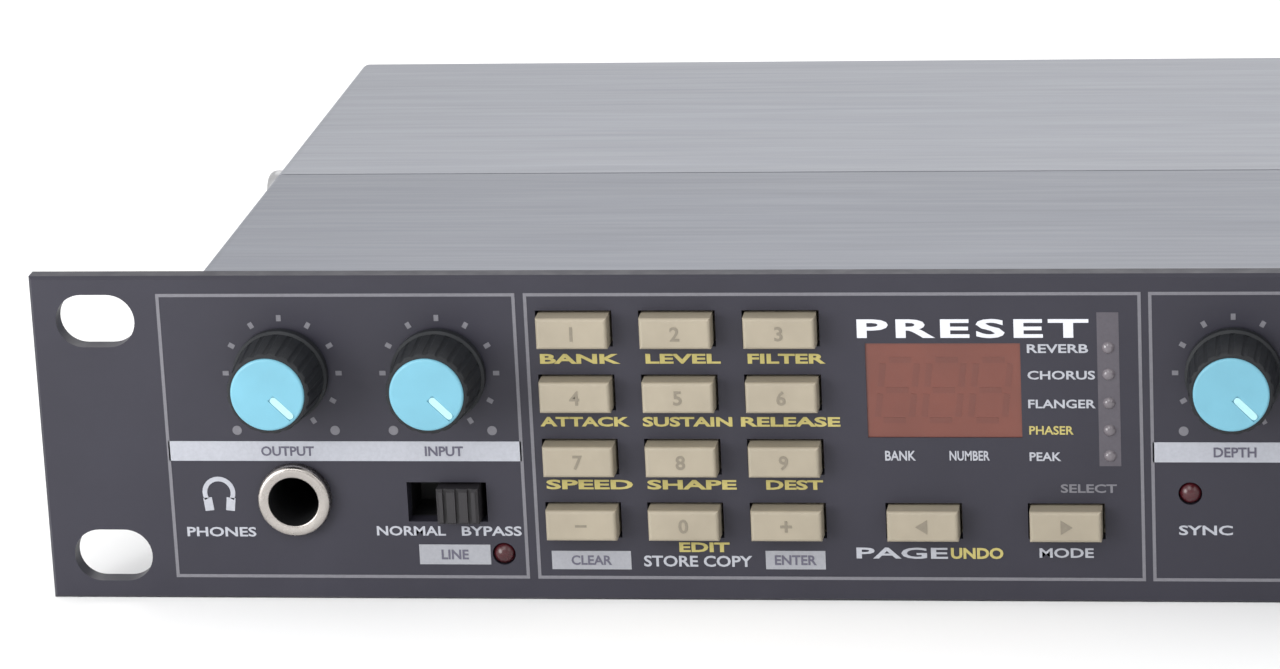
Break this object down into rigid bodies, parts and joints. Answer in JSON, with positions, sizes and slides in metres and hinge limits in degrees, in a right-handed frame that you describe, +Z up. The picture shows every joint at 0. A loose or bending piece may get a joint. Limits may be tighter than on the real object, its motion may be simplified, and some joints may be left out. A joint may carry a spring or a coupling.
{
  "type": "rack effects unit",
  "caption": "One-unit 19-inch rack audio processor with slotted ears, a keypad, turning knobs, a numeric display, a headphone jack and rear sockets.",
  "frame": {"origin": "under the middle of the whole object, on the surface that it stands on", "axes": "+X to the right seen from the front, +Y from the front panel to the rear sockets, +Z up"},
  "size_m": [0.4826, 0.1272, 0.0436],
  "materials": {
    "panel_paint": "dark blue-grey satin paint with printed legends",
    "tray_steel": "light grey satin finish on folded sheet steel",
    "rear_paint": "dark blue-grey satin paint with printed legends",
    "cover_steel": "grey metal sheet with fine lengthwise grain",
    "screw_steel": "bright zinc-plated steel",
    "circuit_board": "green solder mask on glass-fibre board",
    "black_component": "black moulded plastic",
    "window_red": "dark red tinted acrylic filter",
    "led_red": "red tinted clear epoxy, unlit",
    "led_clear": "milky clear epoxy, unlit",
    "jack_body": "black moulded jack with a plated bushing",
    "plated_ring": "bright nickel plating",
    "lever_plastic": "dark grey moulded plastic",
    "capacitor_sleeve": "dark blue sleeve",
    "rocker_plastic": "black moulded plastic, slightly glossy",
    "knob_black": "black moulded plastic with fine flutes",
    "cap_blue": "light blue moulded plastic with a printed pointer",
    "key_cream": "warm cream moulded plastic with printed figures"
  },
  "bodies": {
    "chassis": {"front_panel": "panel_paint", "base_tray": "tray_steel", "rear_panel": "rear_paint", "front_deck": "cover_steel", "top_cover": "cover_steel", "case_screws": "screw_steel", "panel_studs": "screw_steel", "panel_nuts": "screw_steel", "main_board": "circuit_board", "board_standoffs": "screw_steel", "board_screws": "screw_steel", "control_board": "circuit_board", "board_header": "black_component", "pot_bodies": "black_component", "tact_switches": "black_component", "display_module": "black_component", "display_window": "window_red", "indicator_leds": "led_red", "status_leds": "led_clear", "phones_jack_body": "jack_body", "phones_jack_ring": "plated_ring", "slide_switch_body": "black_component", "processor_chips": "black_component", "capacitors": "capacitor_sleeve", "rear_jack_bodies": "jack_body", "rear_jack_nuts": "plated_ring", "din_sockets": "black_component", "din_inserts": "black_component", "dc_inlet": "black_component", "power_switch_body": "black_component"},
    "knob_1": {"knob_1_body": "knob_black", "knob_1_cap": "cap_blue"},
    "knob_2": {"knob_2_body": "knob_black", "knob_2_cap": "cap_blue"},
    "knob_3": {"knob_3_body": "knob_black", "knob_3_cap": "cap_blue"},
    "knob_4": {"knob_4_body": "knob_black", "knob_4_cap": "cap_blue"},
    "knob_5": {"knob_5_body": "knob_black", "knob_5_cap": "cap_blue"},
    "knob_6": {"knob_6_body": "knob_black", "knob_6_cap": "cap_blue"},
    "knob_7": {"knob_7_body": "knob_black", "knob_7_cap": "cap_blue"},
    "key_01": {"key_01": "key_cream"},
    "key_02": {"key_02": "key_cream"},
    "key_03": {"key_03": "key_cream"},
    "key_04": {"key_04": "key_cream"},
    "key_05": {"key_05": "key_cream"},
    "key_06": {"key_06": "key_cream"},
    "key_07": {"key_07": "key_cream"},
    "key_08": {"key_08": "key_cream"},
    "key_09": {"key_09": "key_cream"},
    "key_10": {"key_10": "key_cream"},
    "key_11": {"key_11": "key_cream"},
    "key_12": {"key_12": "key_cream"},
    "key_mode_left": {"key_mode_left": "key_cream"},
    "key_mode_right": {"key_mode_right": "key_cream"},
    "switch_lever": {"slide_switch_lever": "lever_plastic"},
    "rocker": {"power_rocker": "rocker_plastic"}
  },
  "joints": [
    {"name": "knob_1_turn", "type": "hinge", "parent": "chassis", "child": "knob_1", "pos_m": [-0.209, -0.05438, 0.0307], "axis": [0, 1, 0], "range_deg": [-285, 15]},
    {"name": "knob_2_turn", "type": "hinge", "parent": "chassis", "child": "knob_2", "pos_m": [-0.1886, -0.05438, 0.0307], "axis": [0, 1, 0], "range_deg": [-285, 15]},
    {"name": "knob_3_turn", "type": "hinge", "parent": "chassis", "child": "knob_3", "pos_m": [-0.0876, -0.05438, 0.0307], "axis": [0, 1, 0], "range_deg": [-285, 15]},
    {"name": "knob_4_turn", "type": "hinge", "parent": "chassis", "child": "knob_4", "pos_m": [-0.0672, -0.05438, 0.0307], "axis": [0, 1, 0], "range_deg": [-285, 15]},
    {"name": "knob_5_turn", "type": "hinge", "parent": "chassis", "child": "knob_5", "pos_m": [-0.0468, -0.05438, 0.0307], "axis": [0, 1, 0], "range_deg": [-285, 15]},
    {"name": "knob_6_turn", "type": "hinge", "parent": "chassis", "child": "knob_6", "pos_m": [-0.0264, -0.05438, 0.0307], "axis": [0, 1, 0], "range_deg": [-285, 15]},
    {"name": "knob_7_turn", "type": "hinge", "parent": "chassis", "child": "knob_7", "pos_m": [-0.006, -0.05438, 0.0307], "axis": [0, 1, 0], "range_deg": [-285, 15]},
    {"name": "key_01_press", "type": "slide", "parent": "chassis", "child": "key_01", "axis": [0, 1, 0], "range_m": [0, 0.0006], "stiffness_N_per_m": 400},
    {"name": "key_02_press", "type": "slide", "parent": "chassis", "child": "key_02", "axis": [0, 1, 0], "range_m": [0, 0.0006], "stiffness_N_per_m": 400},
    {"name": "key_03_press", "type": "slide", "parent": "chassis", "child": "key_03", "axis": [0, 1, 0], "range_m": [0, 0.0006], "stiffness_N_per_m": 400},
    {"name": "key_04_press", "type": "slide", "parent": "chassis", "child": "key_04", "axis": [0, 1, 0], "range_m": [0, 0.0006], "stiffness_N_per_m": 400},
    {"name": "key_05_press", "type": "slide", "parent": "chassis", "child": "key_05", "axis": [0, 1, 0], "range_m": [0, 0.0006], "stiffness_N_per_m": 400},
    {"name": "key_06_press", "type": "slide", "parent": "chassis", "child": "key_06", "axis": [0, 1, 0], "range_m": [0, 0.0006], "stiffness_N_per_m": 400},
    {"name": "key_07_press", "type": "slide", "parent": "chassis", "child": "key_07", "axis": [0, 1, 0], "range_m": [0, 0.0006], "stiffness_N_per_m": 400},
    {"name": "key_08_press", "type": "slide", "parent": "chassis", "child": "key_08", "axis": [0, 1, 0], "range_m": [0, 0.0006], "stiffness_N_per_m": 400},
    {"name": "key_09_press", "type": "slide", "parent": "chassis", "child": "key_09", "axis": [0, 1, 0], "range_m": [0, 0.0006], "stiffness_N_per_m": 400},
    {"name": "key_10_press", "type": "slide", "parent": "chassis", "child": "key_10", "axis": [0, 1, 0], "range_m": [0, 0.0006], "stiffness_N_per_m": 400},
    {"name": "key_11_press", "type": "slide", "parent": "chassis", "child": "key_11", "axis": [0, 1, 0], "range_m": [0, 0.0006], "stiffness_N_per_m": 400},
    {"name": "key_12_press", "type": "slide", "parent": "chassis", "child": "key_12", "axis": [0, 1, 0], "range_m": [0, 0.0006], "stiffness_N_per_m": 400},
    {"name": "key_mode_left_press", "type": "slide", "parent": "chassis", "child": "key_mode_left", "axis": [0, 1, 0], "range_m": [0, 0.0006], "stiffness_N_per_m": 400},
    {"name": "key_mode_right_press", "type": "slide", "parent": "chassis", "child": "key_mode_right", "axis": [0, 1, 0], "range_m": [0, 0.0006], "stiffness_N_per_m": 400},
    {"name": "lever_slide", "type": "slide", "parent": "chassis", "child": "switch_lever", "axis": [1, 0, 0], "range_m": [-0.00335, 0]},
    {"name": "power_rock", "type": "hinge", "parent": "chassis", "child": "rocker", "pos_m": [0.185, 0.05912, 0.02], "axis": [0, 0, 1], "range_deg": [-20, 0]}
  ]
}
